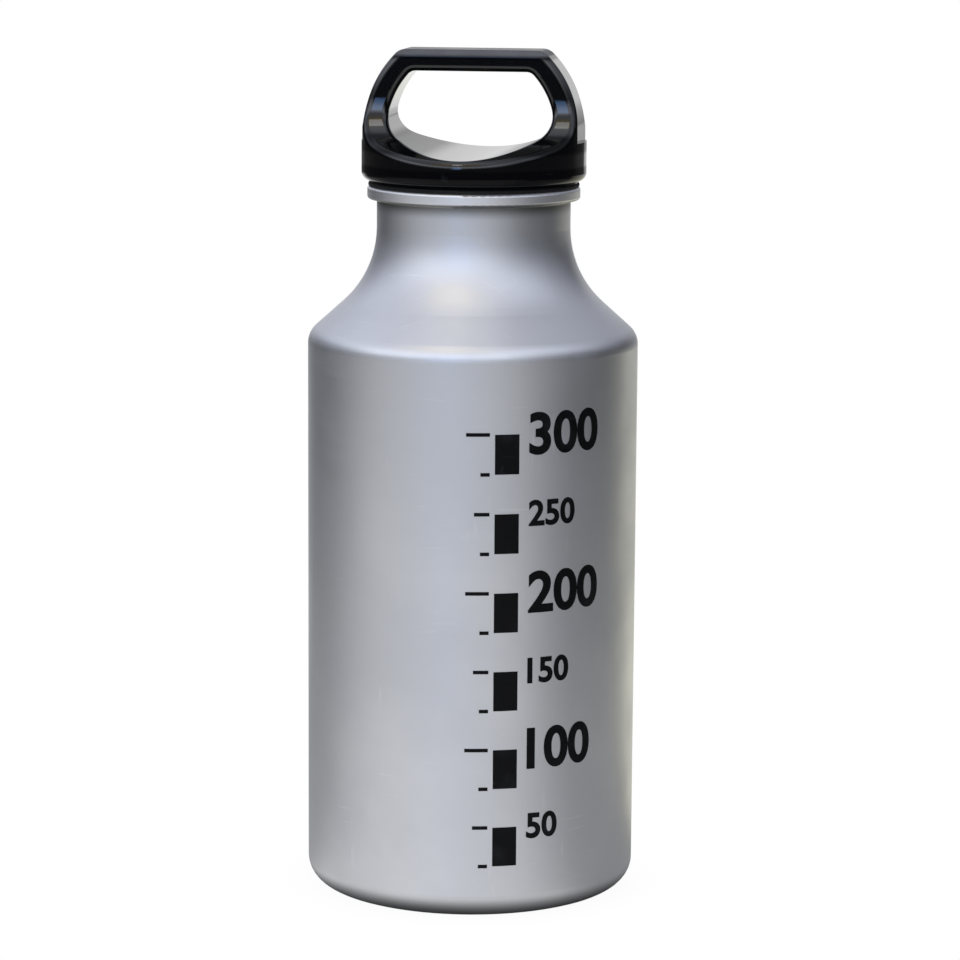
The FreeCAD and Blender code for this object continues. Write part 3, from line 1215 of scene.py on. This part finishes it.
        # A camera that isn't turned looks straight down.
        tilt = Matrix.Rotation(math.pi / 2 - math.radians(self.pitch), 4, "X")
        lean = Matrix.Rotation(math.radians(self.roll), 4, "Z")
        camera.matrix_world = Matrix.Translation(place) @ aim @ tilt @ lean
        bpy.context.scene.camera = camera

    def floor_light(self, graph: Graph, away: Socket, way: Socket) -> Socket:
        """Gives the floor's brightness in reflections: bright in front and behind, dark far off.

        Args:
            graph: the floor's graph.
            away: the distance from the bottle's axis.
            way: the direction from the axis.

        Returns:
            The brightness's socket.
        """
        facing = graph.ramp(graph.towards(way, self.front_azimuth), self.front_across)
        side = graph.ramp(away, self.side_reach, self.floor_side, self.floor_dark)
        front = graph.ramp(away, self.front_reach, self.floor_front, self.floor_dark)
        lit = graph.math("MULTIPLY", graph.math("SUBTRACT", front, side), facing)
        lit = graph.math("ADD", lit, side)
        straight_back = graph.towards(way, self.back_azimuth)
        dimming = graph.ramp(straight_back, self.far_across, self.side_dimming, self.far_dimming)
        dimming = graph.math("MULTIPLY", dimming, graph.ramp(away, self.back_reach))
        behind = graph.ramp(straight_back, self.back_across)
        behind = graph.math("MULTIPLY", behind, graph.math("SUBTRACT", 1.0, dimming))
        lit = graph.math("MAXIMUM", lit, behind)
        return graph.math("MULTIPLY", lit, graph.ramp(away, self.shadow_reach, self.shadow_level, 1.0))

    def build_floor(self) -> None:
        """Lays the floor: white to the camera, with the bottle's soft shadow at its foot."""
        material = bpy.data.materials.new("pale_floor")
        material.use_nodes = True
        material.node_tree.nodes.clear()
        graph = Graph(material.node_tree)
        place = graph.add("ShaderNodeTexCoord").outputs["Object"]
        away = graph.vector("LENGTH", place)
        way = graph.vector("NORMALIZE", place)
        path = graph.add("ShaderNodeLightPath").outputs
        mirrored = path["Is Glossy Ray"]
        straight = graph.math("MAXIMUM", path["Is Camera Ray"], path["Is Transmission Ray"])
        level = graph.math("MAXIMUM", self.floor_light(graph, away, way), straight)
        contact = graph.ramp(away, self.shadow_reach, self.contact_share, 1.0)
        shown = graph.math("MAXIMUM", graph.math("MULTIPLY", straight, contact), mirrored)
        tinted = graph.ramp(graph.towards(way, self.tint_azimuth), self.tint_across)
        tinted = graph.math("MULTIPLY", tinted, graph.ramp(away, self.tint_reach, 1.0, 0.0))
        tone = graph.blend(graph.math("MULTIPLY", tinted, mirrored), WHITE, self.back_tint)
        cloth = graph.add("ShaderNodeBsdfDiffuse", {"Color": self.floor_colour}).outputs["BSDF"]
        glow = graph.add("ShaderNodeEmission", {"Color": tone, "Strength": level}).outputs["Emission"]
        mixed = graph.add("ShaderNodeMixShader", {0: shown, 1: cloth, 2: glow})
        graph.add("ShaderNodeOutputMaterial", {"Surface": mixed.outputs["Shader"]})
        form = bmesh.new()
        low = Matrix.Translation((0.0, 0.0, -self.floor_drop))
        bmesh.ops.create_grid(form, x_segments=1, y_segments=1, size=self.floor_size / 2, matrix=low)
        finish_mesh(form, "floor", material)

    def build_world(self) -> None:
        """Makes the room: white to the camera, and a dim room with its lit parts to everything else."""
        world = bpy.data.worlds.new("studio")
        world.use_nodes = True
        world.node_tree.nodes.clear()
        graph = Graph(world.node_tree)
        way = graph.add("ShaderNodeTexCoord").outputs["Generated"]
        height = graph.add("ShaderNodeSeparateXYZ", {0: way}).outputs["Z"]
        heading = graph.vector("NORMALIZE", graph.vector("MULTIPLY", way, (1.0, 1.0, 0.0)))
        light = Vector(self.room_dark[:3])
        for patch in self.front_room() + self.ceiling_and_back():
            light = graph.vector("ADD", light, patch.light(graph, heading, height))
        room = graph.add("ShaderNodeBackground", {"Color": light}).outputs["Background"]
        white = graph.add("ShaderNodeBackground", {"Color": WHITE}).outputs["Background"]
        seen = graph.add("ShaderNodeLightPath").outputs["Is Camera Ray"]
        mixed = graph.add("ShaderNodeMixShader", {0: seen, 1: room, 2: white})
        graph.add("ShaderNodeOutputWorld", {"Surface": mixed.outputs["Shader"]})
        bpy.context.scene.world = world

    def build(self) -> None:
        """Sets up the whole studio."""
        bpy.context.scene.view_settings.view_transform = "Standard"
        self.build_world()
        self.build_floor()
        for lamp in self.lamps():
            lamp.build()
        self.build_camera()
        log.info("studio set up")


def clear_scene() -> None:
    """Removes what a new Blender file starts with."""
    for item in list(bpy.data.objects):
        bpy.data.objects.remove(item)


def main() -> None:
    """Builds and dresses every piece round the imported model."""
    logging.basicConfig(level=logging.INFO, format="%(name)s: %(message)s")
    clear_scene()
    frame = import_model()
    nodes = frame["nodes"]
    Effects.build_grain()
    Effects.build_marks()
    metal = SatinAluminium().make()
    plastic = GlossPlastic().make()

    bottle = Bottle()
    bottle.dress(nodes[Node.SHELL.value], metal)
    bottle.build_thread(metal)
    bottle.print_scale(PrintedInk().make())
    cap = ScrewCap()
    cap.dress(nodes[Node.CAP.value], plastic)
    cap.build_thread(plastic)
    Seal().dress(nodes[Node.SEAL.value], MattRubber().make())
    Studio().build()


if __name__ == "__main__":
    main()
